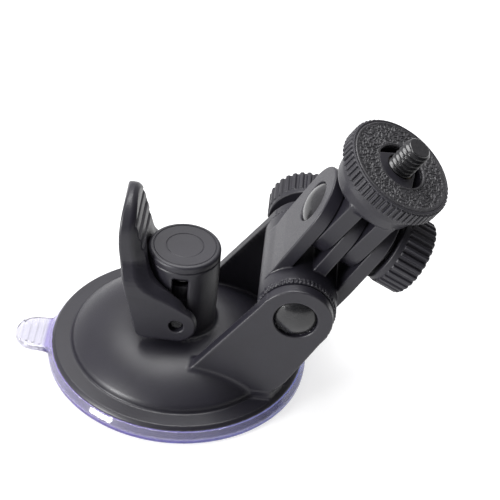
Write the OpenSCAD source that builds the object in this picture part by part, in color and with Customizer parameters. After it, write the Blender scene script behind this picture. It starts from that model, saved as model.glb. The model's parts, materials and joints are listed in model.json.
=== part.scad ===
// Suction-cup windscreen mount for a small dash camera.
// Frame: +Z up, origin at the centre of the suction cup's underside.
// +X points from the tower to the fork, -X to the pull tab and the lever's tongue.

/* [Suction cup] */
// Diameter of the suction cup
cup_d = 65; // [60:1:70]
// Height of the seat that the base rests on
cup_seat_h = 3.5; // [3:0.1:4]
// Width of the pull tab
tab_w = 11.5; // [8:0.5:14]
// Distance from the cup's centre to the tab's end
tab_reach = 41; // [38:0.5:44]

/* [Base] */
// Diameter of the base's flange
flange_d = 63; // [60:0.5:63]
// Height of the dome's flat crown above the glass
dome_top = 12.9; // [12.5:0.1:13.1]
// Wall thickness of the base moulding
wall_t = 2; // [1.6:0.1:2.2]
// Outer diameter of the plunger tower
tower_d = 17.6; // [17.4:0.1:18]
// Height of the tower with its cap
tower_top = 35.1; // [34.5:0.1:36]
// Bore of the tower, which guides the plunger
tower_bore_d = 14.4; // [14.2:0.1:14.6]
// Width of the slots that the lever's pin rises in
slot_w = 3.8; // [3.7:0.1:4.2]

/* [Fork] */
// Distance between the outer faces of the two fork arms
fork_w = 35.2; // [34:0.2:37]
// Thickness of a fork arm
arm_t = 2.9; // [2.5:0.1:3.2]
// Pivot 1, distance ahead of the tower's axis
pivot_1_x = 28.12; // [27.5:0.1:29]
// Pivot 1, height above the glass
pivot_1_z = 30.59; // [30:0.1:32]
// Radius of a fork arm's eye
eye_r = 8.8; // [8:0.1:9]

/* [Lever] */
// Height of the lever's pin above the glass, lever upright
pin_z = 19.25; // [19:0.05:19.5]
// Diameter of the lever's pin
pin_d = 3.4; // [3:0.1:3.5]
// Distance that the pin rises as the lever is pressed down
lift = 5.7; // [5:0.1:6]
// Distance between the outer faces of the lever's cheeks
lever_w = 23.8; // [23:0.1:24.4]
// Thickness of a cheek
cheek_t = 2.4; // [2:0.1:2.5]
// Height of the lever's tip above the glass
lever_top = 50.2; // [49:0.2:52]

/* [Elbow and head] */
// Lean of the elbow above +X
elbow_angle = 62.2; // [55:0.5:75]
// Distance between the two pivots
link_len = 20.02; // [19.5:0.1:21]
// Width across the elbow's three fingers
fingers_w = 19.08; // [18:0.1:20]
// Thickness of an elbow finger
finger_t = 3.4; // [3:0.1:3.6]
// Radius of the fingers' round ends
finger_r = 9.3; // [9:0.1:9.4]
// Sideways tilt of the camera head
head_angle = 7.5; // [0:0.5:10]
// Height of the camera screw's tip above pivot 2
screw_tip = 29.17; // [28:0.1:30]
// Diameter of the camera screw, 1/4 inch
screw_d = 6.35; // [6.35]
// Diameter of the knurled lock ring
ring_d = 27; // [26:0.2:28]
// Height of the lock ring's top face above pivot 2
ring_top = 22.13; // [22:0.05:22.5]

/* [Knobs] */
// Diameter of a clamp knob over its ridges
knob_d = 18.8; // [18:0.2:19.4]
// Number of ridges around a knob
knob_ridges = 30; // [24:1:36]
// Diameter of a clamp bolt's shank
bolt_d = 5; // [5]
// Diameter of a clamp bolt's domed head
bolt_head_d = 9.9; // [9.5:0.1:10.2]

/* [Hidden] */
$fn = 96;
eps = 0.01;

cup_r = cup_d / 2;
cup_lip_h = 2.2;
foot_r = 9;
foot_bottom = 1.3;
foot_t = 1.9;
socket_gap = 0.15;

flange_r = flange_d / 2;
step_r = 26.5;
step_z = 5.7;
crown_r = 10.5;
// Radius of the dome's profile, tangent to the flat crown and meeting the step
dome_fall = dome_top - step_z;
dome_r = ((step_r - crown_r) * (step_r - crown_r) + dome_fall * dome_fall) / (2 * dome_fall);

tower_r = tower_d / 2;
tower_bore_r = tower_bore_d / 2;
cap_t = 1.9;
cap_z = tower_top - cap_t;
plug_len = 1.7;
plug_t = 0.7;
slot_bottom = pin_z - 2.1;
slot_top = 31.2;

stem_r = tower_bore_r - 0.08;
stem_shoulder = pin_z + 4.3;
stem_top = cap_z - lift - 0.3;
sleeve_r = 6.2;
spring_seat = pin_z + 2.5;
spring_r = 4.3;
spring_wire_r = 0.42;
spring_turns = 5.5;
pin_r = pin_d / 2;
pin_hole_r = pin_r + 0.06;

cheek_outer = lever_w / 2;
cheek_bottom = 14.4;
cheek_left = -10.3;
cheek_corner_r = 3;
cheek_end_r = 4.85;
tongue_r = 9;
root_z = 27;

arm_outer = fork_w / 2;
arm_inner = arm_outer - arm_t;
arm_slope = 55.8;
arm_back_slope = 63;

bolt_r = bolt_d / 2;
bolt_hole_r = bolt_r + 0.06;
head_r = bolt_head_d / 2;
head_sink = 1.1;
square_neck = 5;
knob_r = knob_d / 2;
knob_1_face = 20.5;
knob_2_face = 11.0;
knob_len = 8.5;
washer_t = 1;
nut_flats = 8;
nut_t = 4;

barrel_half = arm_inner - 0.15;
finger_half = fingers_w / 2;
barrel_r = 9.4;
finger_gap = (fingers_w - 3 * finger_t) / 2;
head_finger_t = finger_gap - 0.34;
head_finger_x = (finger_t + finger_gap) / 2;

flange_low = 11.2;
flange_low_r = 10.5;
flange_high_r = 11.3;
ring_r = ring_d / 2;
ring_t = 4.27;
ring_low = ring_top - ring_t;
head_top = ring_low - 0.1;
ring_teeth = 60;
ring_core_r = ring_r - 0.45;
pad_r = 12.5;
pad_t = 0.9;
window_r = 6;
window_chord = 3.9;
// Directions of the two windows beside the screw
window_turns = [-4, 122];
insert_r = 3.8;
screw_r = screw_d / 2;
// Half the pitch diameter of the thread, where the lock ring's insert grips it
screw_shank_r = screw_r - 0.415;
screw_head_flats = 11.1;
screw_head_t = 3.6;
screw_head_z = 12.2;

// ---------- Outlines ----------

// Points along an arc about c, from angle a0 to a1
function arc(c, r, a0, a1, n) = [for (i = [0:n])
    let (a = a0 + (a1 - a0) * i / n)
    [c[0] + r * cos(a), c[1] + r * sin(a)]];

// Points along a cubic curve that leaves p0 towards p1 and reaches p3 from p2
function curve(p0, p1, p2, p3, n) = [for (i = [0:n])
    let (t = i / n, q = 1 - t)
    q * q * q * p0 + 3 * q * q * t * p1 + 3 * q * t * t * p2 + t * t * t * p3];

// ---------- Frames ----------

// Local frame of the elbow: +Z along the elbow, +X along pivot 2's axis
module elbow_frame() {
    translate([pivot_1_x, 0, pivot_1_z])
        rotate([0, 90 - elbow_angle, 0])
            children();
}

// Local frame of pivot 2, still in line with the elbow
module pivot_2_frame() {
    elbow_frame()
        translate([0, 0, link_len])
            children();
}

// Local frame of the camera head: +Z along the camera screw
module head_frame() {
    pivot_2_frame()
        rotate([head_angle, 0, 0])
            children();
}

// A rod along +Y from y0 to y1
module rod_y(r, y0, y1) {
    translate([0, y0, 0])
        rotate([-90, 0, 0])
            cylinder(r = r, h = y1 - y0);
}

// A rod along +X from x0 to x1
module rod_x(r, x0, x1) {
    translate([x0, 0, 0])
        rotate([0, 90, 0])
            cylinder(r = r, h = x1 - x0);
}

// An outline drawn in X and Z, extruded along +Y from y0 to y1
module plate_y(y0, y1) {
    translate([0, y1, 0])
        rotate([90, 0, 0])
            linear_extrude(y1 - y0)
                children();
}

// ---------- Suction cup and plunger ----------

module suction_cup() {
    color("lavender")
        difference() {
            union() {
                rotate_extrude($fn = 128)
                    polygon([
                        [0, 0], [cup_r - 0.4, 0], [cup_r, 0.4], [cup_r, cup_lip_h],
                        [cup_r - 1, cup_seat_h], [27, cup_seat_h], [22, 2.2], [13, 2.2],
                        [11, 3.2], [0, 3.2]
                    ]);
                pull_tab();
            }
            translate([0, 0, foot_bottom - socket_gap])
                cylinder(r = foot_r + socket_gap, h = 4);
        }
}

module pull_tab() {
    tab_end = tab_reach - tab_w / 2;
    translate([-tab_end, 0, 0.2])
        cylinder(d = tab_w, h = 1.5);
    translate([-tab_end, -tab_w / 2, 0.2])
        cube([tab_end - cup_r + 3, tab_w, 1.5]);
    for (i = [0:3])
        translate([-tab_reach + 1.6 + 1.7 * i, 0, 1.7])
            rotate([90, 0, 0])
                cylinder(r = 0.35, h = tab_w - 5 + i, center = true, $fn = 24);
}

module plunger_stem() {
    color("dimgray")
        difference() {
            union() {
                translate([0, 0, foot_bottom])
                    cylinder(r = foot_r, h = foot_t);
                translate([0, 0, foot_bottom])
                    cylinder(r = stem_r, h = stem_shoulder - foot_bottom);
                translate([0, 0, foot_bottom])
                    cylinder(r = sleeve_r, h = stem_top - foot_bottom);
            }
            translate([0, 0, spring_seat])
                cylinder(r = spring_r + spring_wire_r + 0.3, h = stem_top);
            translate([0, 0, foot_bottom - eps])
                cylinder(r = 4.5, h = 12);
            translate([0, 0, pin_z])
                rod_y(pin_r, -stem_r - 1, stem_r + 1);
        }
}

// Wire of a round-section helix, as one closed tube
module helix_wire(r, wire_r, z0, z1, turns, sides = 8, steps = 16) {
    n = ceil(turns * steps);
    points = [for (i = [0:n]) let (a = 360 * turns * i / n, z = z0 + (z1 - z0) * i / n)
        for (k = [0:sides - 1]) let (b = 360 * k / sides, q = r + wire_r * cos(b))
            [q * cos(a), q * sin(a), z + wire_r * sin(b)]];
    skin = [for (i = [0:n - 1]) for (k = [0:sides - 1])
        let (m = (k + 1) % sides)
            [i * sides + k, i * sides + m, (i + 1) * sides + m, (i + 1) * sides + k]];
    ends = [[for (k = [sides - 1:-1:0]) k], [for (k = [0:sides - 1]) n * sides + k]];
    polyhedron(points, concat(skin, ends), convexity = 10);
}

module plunger_spring() {
    color("silver")
        helix_wire(spring_r, spring_wire_r, spring_seat + spring_wire_r,
            cap_z - spring_wire_r, spring_turns);
}

// ---------- Base ----------

module dome_profile(shrink) {
    intersection() {
        union() {
            translate([crown_r, dome_top - dome_r])
                circle(r = dome_r - shrink, $fn = 180);
            square([crown_r, dome_top - shrink]);
        }
        translate([0, cup_seat_h])
            square([step_r - shrink, 30]);
    }
}

module base_outer() {
    rotate_extrude($fn = 180) {
        dome_profile(0);
        polygon([
            [0, cup_seat_h], [flange_r, cup_seat_h], [flange_r, 3.9],
            [flange_r - 0.8, 4.6], [step_r, 5], [0, 5]
        ]);
    }
    translate([0, 0, dome_top - wall_t])
        cylinder(r = tower_r, h = cap_z - dome_top + wall_t);
    for (side = [-1, 1])
        fork_arm(side);
}

module fork_arm(side) {
    y_low = side > 0 ? arm_inner : -arm_outer;
    top_x = pivot_1_x - eye_r * sin(arm_slope);
    top_z = pivot_1_z + eye_r * cos(arm_slope);
    back_x = pivot_1_x + eye_r * sin(arm_back_slope);
    back_z = pivot_1_z - eye_r * cos(arm_back_slope);
    heel_z = 10.7;
    heel_x = back_x - (back_z - heel_z) / tan(arm_back_slope);
    toe_x = 24.5;
    tip_z = 9;
    tip_x = top_x - (top_z - tip_z) / tan(arm_slope);
    plate_y(y_low, y_low + arm_t) {
        translate([pivot_1_x, pivot_1_z])
            circle(r = eye_r);
        polygon([
            [top_x, top_z], [tip_x, tip_z], [tip_x, 4], [toe_x, 4], [toe_x, 6.5],
            [heel_x, heel_z], [back_x, back_z], [pivot_1_x, pivot_1_z]
        ]);
    }
    foot_block(side);
}

// Thickened toe of an arm, trimmed to the flange's round edge
module foot_block(side) {
    toe_w = 5;
    intersection() {
        translate([20, side > 0 ? arm_outer - toe_w : -arm_outer, 4])
            cube([8, toe_w, 2.5]);
        cylinder(r = 30.2, h = 10);
    }
}

module base_shell() {
    color("#303034")
        difference() {
            base_outer();
            base_hollow();
            for (side = [-1, 1])
                translate([-slot_w / 2, side > 0 ? 0 : -tower_r - 1, slot_bottom])
                    cube([slot_w, tower_r + 1, slot_top - slot_bottom]);
            translate([pivot_1_x, 0, pivot_1_z]) {
                rod_y(bolt_hole_r, 0, arm_outer + 1);
                rod_y(head_r + 0.25, -arm_outer - 1, -arm_outer + head_sink);
                translate([0, -arm_outer + arm_t / 2, 0])
                    cube([square_neck + 0.12, arm_t + 1, square_neck + 0.12], center = true);
            }
        }
}

module base_hollow() {
    rotate_extrude($fn = 180) {
        difference() {
            dome_profile(wall_t);
            translate([0, -1])
                square([0.01, 40]);
        }
        translate([0, cup_seat_h - 1])
            square([step_r - wall_t, 1.5]);
    }
    translate([0, 0, cup_seat_h])
        cylinder(r = tower_bore_r, h = 40);
}

module tower_cap() {
    color("#303034")
        rotate_extrude($fn = 128)
            difference() {
                union() {
                    translate([0, cap_z])
                        square([tower_r - 0.7, cap_t]);
                    translate([0, cap_z])
                        square([tower_r, cap_t - 0.7]);
                    translate([tower_r - 0.7, tower_top - 0.7])
                        circle(r = 0.7, $fn = 32);
                    translate([0, cap_z - plug_len])
                        square([tower_bore_r - 0.05, plug_len + eps]);
                }
                translate([-1, cap_z - plug_len - 1])
                    square([tower_bore_r - 0.05 - plug_t + 1, plug_len + 1]);
                translate([7.5, tower_top - 0.15])
                    square([0.25, 1]);
                translate([-1, tower_top - 0.12])
                    square([5.4, 1]);
            }
}

// ---------- Lever ----------

// Side outline of the lever, X and Z: cam end, back, rounded tip, hollow front, pivot end
module lever_outline() {
    back_x = cheek_left - 4.9;
    corner = [cheek_left + cheek_corner_r, cheek_bottom + cheek_corner_r];
    polygon(concat(
        arc(corner, cheek_corner_r, 270, 180, 8),
        curve([cheek_left, corner[1]], [-11.6, 25], [back_x, 33], [back_x, 42], 12),
        curve([back_x, 42], [back_x, 45], [-15.1, lever_top], [-13.8, lever_top], 8),
        curve([-12.8, lever_top], [-11.6, lever_top], [-11.6, 47], [-11.5, 45], 6),
        curve([-11.5, 45], [-11.1, 41.5], [-10.4, 37], [-9, 33], 8),
        curve([-9, 33], [-7.6, 30], [-5.2, 29], [-2.8, 26.2], 8),
        arc([0, pin_z], cheek_end_r, 65, -90, 20)
    ));
}

// Front outline of the lever, Y and Z: wide cheeks narrowing to a round tongue
module lever_front() {
    top_c = lever_top - tongue_r;
    flare = curve([tongue_r, top_c - 5], [tongue_r, 34], [cheek_outer, 32.5], [cheek_outer, root_z], 8);
    polygon(concat(
        arc([0, top_c], tongue_r, 180, 0, 32),
        flare,
        [[cheek_outer, 0], [-cheek_outer, 0]],
        [for (i = [len(flare) - 1:-1:0]) [-flare[i][0], flare[i][1]]]
    ));
}

module cam_lever() {
    inner = cheek_outer - cheek_t;
    color("#303034")
        difference() {
            intersection() {
                plate_y(-cheek_outer, cheek_outer)
                    lever_outline();
                translate([-30, 0, 0])
                    rotate([90, 0, 90])
                        linear_extrude(60)
                            lever_front();
            }
            lever_hollow(inner);
            translate([0, 0, pin_z])
                rod_y(pin_hole_r, -cheek_outer - 1, cheek_outer + 1);
        }
}

// Room between the cheeks: the tower stands in it, and passes under the tongue's root
module lever_hollow(inner) {
    plate_y(-inner, inner) {
        translate([-tower_r - 0.4, 0])
            square([30, lever_top]);
        translate([-30, 0])
            square([60, root_z]);
    }
}

module lever_pin() {
    color("silver")
        translate([0, 0, pin_z])
            rod_y(pin_r, -cheek_outer + 0.6, cheek_outer - 0.6);
}

// ---------- Elbow ----------

module elbow_link() {
    color("#303034")
        difference() {
            union() {
                translate([pivot_1_x, 0, pivot_1_z])
                    rod_y(barrel_r, -barrel_half, barrel_half);
                elbow_frame()
                    for (k = [-1:1])
                        translate([k * (finger_t + finger_gap), 0, 0])
                            elbow_finger();
            }
            elbow_frame() {
                translate([0, 0, link_len])
                    rod_x(bolt_hole_r, -finger_half - 1, finger_half + 1);
                translate([0, 0, link_len])
                    rod_x(head_r + 0.25, -finger_half - 1, -finger_half + 0.6);
                translate([-finger_half + finger_t / 2, 0, link_len])
                    cube([finger_t + 1, square_neck + 0.12, square_neck + 0.12], center = true);
            }
            translate([pivot_1_x, 0, pivot_1_z])
                rod_y(bolt_hole_r, -barrel_half - 1, barrel_half + 1);
        }
}

// A round-ended plate across pivot 2's axis, rising out of the barrel
module elbow_finger() {
    translate([-finger_t / 2, -finger_r, 0])
        cube([finger_t, 2 * finger_r, link_len]);
    translate([0, 0, link_len])
        rod_x(finger_r, -finger_t / 2, finger_t / 2);
}

// ---------- Clamp bolts, washers, nuts and knobs ----------

// A domed bolt along +Z: its head's underside is at z = 0, its shank points to +Z
module domed_bolt(length, neck) {
    dome_h = 1.9;
    dome_sphere = (head_r * head_r + dome_h * dome_h) / (2 * dome_h);
    rotate_extrude($fn = 96)
        intersection() {
            translate([0, dome_sphere - dome_h])
                circle(r = dome_sphere, $fn = 180);
            translate([0, -dome_h - 1])
                square([head_r, dome_h + 1]);
        }
    cylinder(r = bolt_r, h = length);
    translate([-square_neck / 2, -square_neck / 2, 0])
        cube([square_neck, square_neck, neck]);
}

module pivot_bolt_1() {
    color("#1c1c1e")
        translate([pivot_1_x, -arm_outer + head_sink, pivot_1_z])
            rotate([-90, 0, 0])
                domed_bolt(arm_outer - head_sink + 27.2, arm_t - head_sink);
}

module pivot_bolt_2() {
    color("#1c1c1e")
        pivot_2_frame()
            translate([-finger_half + 0.6, 0, 0])
                rotate([0, 90, 0])
                    domed_bolt(finger_half - 0.6 + 17.6, finger_t - 0.6);
}

module flat_washer() {
    difference() {
        cylinder(r = 5.2, h = washer_t);
        translate([0, 0, -1])
            cylinder(r = bolt_r + 0.15, h = washer_t + 2);
    }
}

module hex_nut() {
    difference() {
        cylinder(d = nut_flats / cos(30), h = nut_t, $fn = 6);
        translate([0, 0, -1])
            cylinder(r = bolt_r + 0.04, h = nut_t + 2);
    }
}

// A ridged clamp knob along +Z, its collar's face at z = 0
module clamp_knob(collar) {
    step = 360 / knob_ridges;
    ridge = 0.45;
    difference() {
        union() {
            translate([0, 0, 1.6])
                linear_extrude(knob_len - 1.6)
                    polygon([for (i = [0:knob_ridges - 1]) for (k = [0:3])
                        let (a = step * (i + [0, 0.18, 0.5, 0.68][k]))
                        let (r = k == 0 || k == 3 ? knob_r - ridge : knob_r)
                            [r * cos(a), r * sin(a)]]);
            cylinder(r = knob_r - 0.3, h = 1.61);
            translate([0, 0, -collar])
                cylinder(r = 6.4, h = collar + 0.1);
        }
        translate([0, 0, -collar - 1])
            cylinder(r = bolt_r + 0.3, h = 30);
        translate([0, 0, 2.6])
            cylinder(d = (nut_flats + 0.1) / cos(30), h = 20, $fn = 6);
        translate([0, 0, knob_len - 1.1])
            cylinder(r = 6.6, h = 5);
    }
}

// Press-in cap that closes a knob's nut pocket
module knob_cap() {
    translate([0, 0, knob_len - 1.1])
        cylinder(r = 6.6, h = 1.1);
}

module knob_1_frame() {
    translate([pivot_1_x, knob_1_face, pivot_1_z])
        rotate([-90, 0, 0])
            children();
}

module knob_2_frame() {
    pivot_2_frame()
        translate([knob_2_face, 0, 0])
            rotate([0, 90, 0])
                children();
}

module pivot_washer_1() {
    color("silver")
        translate([pivot_1_x, arm_outer + 0.05, pivot_1_z])
            rotate([-90, 0, 0])
                flat_washer();
}

module pivot_nut_1() {
    color("silver")
        knob_1_frame()
            translate([0, 0, 2.7])
                hex_nut();
}

module clamp_knob_1() {
    color("#303034")
        knob_1_frame()
            clamp_knob(knob_1_face - arm_outer - washer_t - 0.1);
}

module knob_cap_1() {
    color("#303034")
        knob_1_frame()
            knob_cap();
}

module pivot_washer_2() {
    color("silver")
        pivot_2_frame()
            translate([finger_half + 0.05, 0, 0])
                rotate([0, 90, 0])
                    flat_washer();
}

module pivot_nut_2() {
    color("silver")
        knob_2_frame()
            translate([0, 0, 2.7])
                hex_nut();
}

module clamp_knob_2() {
    color("#303034")
        knob_2_frame()
            clamp_knob(knob_2_face - finger_half - washer_t - 0.1);
}

module knob_cap_2() {
    color("#303034")
        knob_2_frame()
            knob_cap();
}

// ---------- Camera head ----------

module camera_head() {
    color("#303034")
        head_frame()
            difference() {
                union() {
                    for (side = [-1, 1])
                        translate([side * head_finger_x, 0, 0])
                            head_finger();
                    rotate_extrude($fn = 128)
                        polygon([
                            [0, flange_low], [flange_low_r - 0.5, flange_low],
                            [flange_low_r, flange_low + 0.5], [flange_high_r, 15],
                            [flange_high_r, head_top - 0.4], [flange_high_r - 0.4, head_top],
                            [0, head_top]
                        ]);
                }
                rod_x(bolt_hole_r, -20, 20);
                translate([0, 0, screw_head_z])
                    cylinder(d = (screw_head_flats + 0.05) / cos(30), h = 20, $fn = 6);
            }
}

module head_finger() {
    half = head_finger_t / 2;
    translate([-half, -finger_r, 0])
        cube([head_finger_t, 2 * finger_r, flange_low + 1]);
    rod_x(finger_r, -half, half);
}

module camera_screw() {
    color("#1c1c1e")
        head_frame() {
            translate([0, 0, screw_head_z])
                cylinder(d = screw_head_flats / cos(30), h = screw_head_t, $fn = 6);
            translate([0, 0, screw_head_z])
                cylinder(r = screw_shank_r, h = ring_top - screw_head_z);
            translate([0, 0, ring_top])
                cylinder(r = screw_r, h = screw_tip - ring_top - 0.4);
            translate([0, 0, screw_tip - 0.4])
                cylinder(r = screw_r - 0.4, h = 0.4);
        }
}

module lock_ring() {
    step = 360 / ring_teeth;
    color("#303034")
        head_frame()
            difference() {
                union() {
                    translate([0, 0, ring_low + 0.4])
                        linear_extrude(ring_t - pad_t - 0.4 + 0.55)
                            polygon([for (i = [0:ring_teeth - 1]) for (k = [0:3])
                                let (a = step * (i + [0, 0.2, 0.5, 0.7][k]))
                                let (r = k == 0 || k == 3 ? ring_core_r : ring_r)
                                    [r * cos(a), r * sin(a)]]);
                    translate([0, 0, ring_low])
                        cylinder(r = ring_core_r, h = ring_t - 0.1);
                }
                translate([0, 0, ring_top - pad_t])
                    cylinder(r = pad_r + 0.05, h = 3);
                for (turn = window_turns)
                    rotate([0, 0, turn])
                        intersection() {
                            translate([0, 0, ring_low - 1])
                                cylinder(r = window_r, h = 10);
                            translate([window_chord, -10, ring_low - 1])
                                cube([10, 20, 10]);
                        }
                translate([0, 0, ring_low - 1])
                    cylinder(r = insert_r, h = 10);
            }
}

module lock_ring_insert() {
    color("goldenrod")
        head_frame()
            translate([0, 0, ring_low])
                difference() {
                    cylinder(r = insert_r, h = ring_t - pad_t);
                    translate([0, 0, -1])
                        cylinder(r = screw_shank_r + 0.08, h = 10);
                }
}

module lock_ring_pad() {
    color("#3a3a3e")
        head_frame()
            translate([0, 0, ring_top - pad_t])
                difference() {
                    cylinder(r = pad_r, h = pad_t);
                    translate([0, 0, -1])
                        cylinder(r = window_r, h = 5);
                }
}

suction_cup();
plunger_stem();
plunger_spring();
base_shell();
tower_cap();
cam_lever();
lever_pin();
elbow_link();
pivot_bolt_1();
pivot_washer_1();
pivot_nut_1();
clamp_knob_1();
knob_cap_1();
pivot_bolt_2();
pivot_washer_2();
pivot_nut_2();
clamp_knob_2();
knob_cap_2();
camera_head();
camera_screw();
lock_ring();
lock_ring_insert();
lock_ring_pad();
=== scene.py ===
"""Looks of a suction-cup camera mount: moulded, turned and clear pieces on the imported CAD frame.

Shapes are worked out in millimetres and turned into metres when a mesh is made. A moulded piece is a
signed distance field, negative inside, meshed on a grid; a turned piece is a radius at each height.
"""

import json
import math

import bmesh
import bpy
import numpy as np
from mathutils import Matrix, Vector, noise

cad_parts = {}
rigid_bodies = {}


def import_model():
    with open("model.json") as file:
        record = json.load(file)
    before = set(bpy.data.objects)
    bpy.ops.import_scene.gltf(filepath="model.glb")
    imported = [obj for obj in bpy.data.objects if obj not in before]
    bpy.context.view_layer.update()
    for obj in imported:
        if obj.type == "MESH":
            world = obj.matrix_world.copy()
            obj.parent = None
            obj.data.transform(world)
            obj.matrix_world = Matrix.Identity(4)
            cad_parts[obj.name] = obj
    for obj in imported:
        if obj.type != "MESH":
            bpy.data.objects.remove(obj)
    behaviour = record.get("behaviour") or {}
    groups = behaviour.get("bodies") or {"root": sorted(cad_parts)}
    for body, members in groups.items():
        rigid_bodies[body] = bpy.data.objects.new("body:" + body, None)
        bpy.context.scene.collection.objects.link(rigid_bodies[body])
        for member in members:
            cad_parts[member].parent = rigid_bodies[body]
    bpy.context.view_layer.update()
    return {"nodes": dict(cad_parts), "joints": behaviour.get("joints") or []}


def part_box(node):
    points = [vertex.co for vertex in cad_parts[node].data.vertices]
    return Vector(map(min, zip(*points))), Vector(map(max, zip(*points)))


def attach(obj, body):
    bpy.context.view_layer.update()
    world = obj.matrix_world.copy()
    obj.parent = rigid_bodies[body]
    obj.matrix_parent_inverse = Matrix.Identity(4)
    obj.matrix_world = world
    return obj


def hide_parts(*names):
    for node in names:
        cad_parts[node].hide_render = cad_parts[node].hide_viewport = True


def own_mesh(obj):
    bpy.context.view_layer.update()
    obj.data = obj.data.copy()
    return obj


MM = 0.001

# ---------- Camera ----------

VIEW_AZIMUTH = 0.6  # degrees round from -Y towards +X
VIEW_ELEVATION = 39.0
VIEW_ROLL = 6.3  # degrees, the camera leans clockwise
VIEW_DISTANCE = 430.18 * MM
VIEW_TARGET = Vector((15.4, 17.7, 21.58)) * MM
LENS = 122.4  # mm on a 36 mm sensor


def make_camera():
    """A camera at the stated angles, its axis through VIEW_TARGET."""
    az, el, roll = (math.radians(a) for a in (VIEW_AZIMUTH, VIEW_ELEVATION, VIEW_ROLL))
    back = Vector((math.sin(az) * math.cos(el), -math.cos(az) * math.cos(el), math.sin(el)))
    level = Vector((math.cos(az), math.sin(az), 0))
    upright = back.cross(level)
    right = level * math.cos(roll) + upright * math.sin(roll)
    data = bpy.data.cameras.new("camera")
    data.lens = LENS
    data.clip_start = 0.01
    camera = bpy.data.objects.new("camera", data)
    turn = Matrix((right, back.cross(right), back)).transposed().to_4x4()
    camera.matrix_world = Matrix.Translation(VIEW_TARGET + back * VIEW_DISTANCE) @ turn
    bpy.context.scene.collection.objects.link(camera)
    bpy.context.scene.camera = camera


make_camera()
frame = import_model()

# ---------- Places, from the frame ----------

JOINTS = {joint["name"]: joint for joint in frame["joints"]}


def box_mm(node):
    """Lowest and highest corner of a CAD node, in mm."""
    low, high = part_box(node)
    return np.array(low) / MM, np.array(high) / MM


def local_frame(origin, up, across):
    """Matrix of a local frame: +Z is up, +X is across, and lengths stay in metres."""
    z = Vector(up).normalized()
    x = Vector(across)
    x = (x - z * x.dot(z)).normalized()
    turn = Matrix((x, z.cross(x), z)).transposed().to_4x4()
    return Matrix.Translation(Vector(origin)) @ turn


def local_box(node, place):
    """Lowest and highest corner of a CAD node in a local frame, in mm."""
    inverse = place.inverted()
    points = np.array([inverse @ v.co for v in frame["nodes"][node].data.vertices]) / MM
    return points.min(0), points.max(0)


PIVOT_1 = Vector(JOINTS["elbow_tilt"]["pos_m"])
PIVOT_2 = Vector(JOINTS["head_tilt"]["pos_m"])
PIVOT_2_AXIS = Vector(JOINTS["head_tilt"]["axis"])
HEAD_AXIS = Vector(JOINTS["lock_ring_turn"]["axis"])
PIN_Z = JOINTS["lever_swing"]["pos_m"][2] / MM

BASE = Matrix.Identity(4)
ELBOW = local_frame(PIVOT_1, PIVOT_2 - PIVOT_1, PIVOT_2_AXIS)
HEAD = local_frame(PIVOT_2, HEAD_AXIS, PIVOT_2_AXIS)
KNOB_1 = local_frame(PIVOT_1, (0, 1, 0), (1, 0, 0))
KNOB_2 = local_frame(PIVOT_2, PIVOT_2_AXIS, (0, 1, 0))

# ---------- Distance fields ----------


def smooth_min(a, b, k):
    """Union of two fields with a fillet about k wide."""
    h = np.maximum(k - np.abs(a - b), 0) / k
    return np.minimum(a, b) - h * h * k / 4


def smooth_max(a, b, k):
    """Intersection of two fields with a rounded edge about k wide."""
    return -smooth_min(-a, -b, k)


def cut(a, b, k):
    """Field a with b taken out of it, the new edge rounded about k wide."""
    return smooth_max(a, -b, k)


def slab(z, low, high):
    """Distance to the layer from low to high."""
    return np.abs(z - (low + high) / 2) - (high - low) / 2


def extrude(flat, z, low, high, edge):
    """A flat outline's field, made solid from low to high with edges of that radius."""
    a = flat + edge
    b = slab(z, low, high) + edge
    return np.minimum(np.maximum(a, b), 0) + np.hypot(np.maximum(a, 0), np.maximum(b, 0)) - edge


def rectangle(x, y, half_x, half_y, corner=0.0):
    """Distance to a rectangle about the origin."""
    a = np.abs(x) - half_x + corner
    b = np.abs(y) - half_y + corner
    return np.minimum(np.maximum(a, b), 0) + np.hypot(np.maximum(a, 0), np.maximum(b, 0)) - corner


def polygon(x, y, corners):
    """Distance to a polygon, negative inside."""
    nearest = np.inf
    inside = False
    previous = corners[-1]
    for corner in corners:
        ex, ey = previous[0] - corner[0], previous[1] - corner[1]
        wx, wy = x - corner[0], y - corner[1]
        t = np.clip((wx * ex + wy * ey) / (ex * ex + ey * ey), 0, 1)
        nearest = np.minimum(nearest, (wx - ex * t) ** 2 + (wy - ey * t) ** 2)
        between = (corner[1] > y) != (previous[1] > y)
        rise = ey if ey else 1e-9
        inside = inside ^ (between & (wx < ex * wy / rise))
        previous = corner
    return np.where(inside, -1, 1) * np.sqrt(nearest)


def hexagon(x, y, flats):
    """Distance to a hexagon, flats being its width and two of its flats facing along Y."""
    apothem = [x * math.sin(a) + y * math.cos(a) for a in np.radians((0, 60, 120))]
    return np.maximum.reduce([np.abs(a) for a in np.broadcast_arrays(*apothem)]) - flats / 2


def teeth(angle, count, flat, rise):
    """0 on a tooth's top and 1 in the gaps, for count teeth round a circle."""
    phase = np.abs((angle * count / (2 * math.pi)) % 1 - 0.5) * 2
    return np.clip((phase - flat) / rise, 0, 1)


def arc(centre, radius, start, end, steps):
    """Points along an arc, its angles in degrees."""
    angles = np.radians(np.linspace(start, end, steps + 1))
    return [(centre[0] + radius * math.cos(a), centre[1] + radius * math.sin(a)) for a in angles]


def curve(p0, p1, p2, p3, steps):
    """Points along a cubic curve that leaves p0 towards p1 and reaches p3 from p2."""
    ends = np.array((p0, p1, p2, p3), float)
    weights = [((1 - t) ** 3, 3 * (1 - t) ** 2 * t, 3 * (1 - t) * t * t, t**3)
               for t in np.linspace(0, 1, steps + 1)]
    return [tuple(np.array(w) @ ends) for w in weights]


# ---------- Meshes ----------


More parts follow.
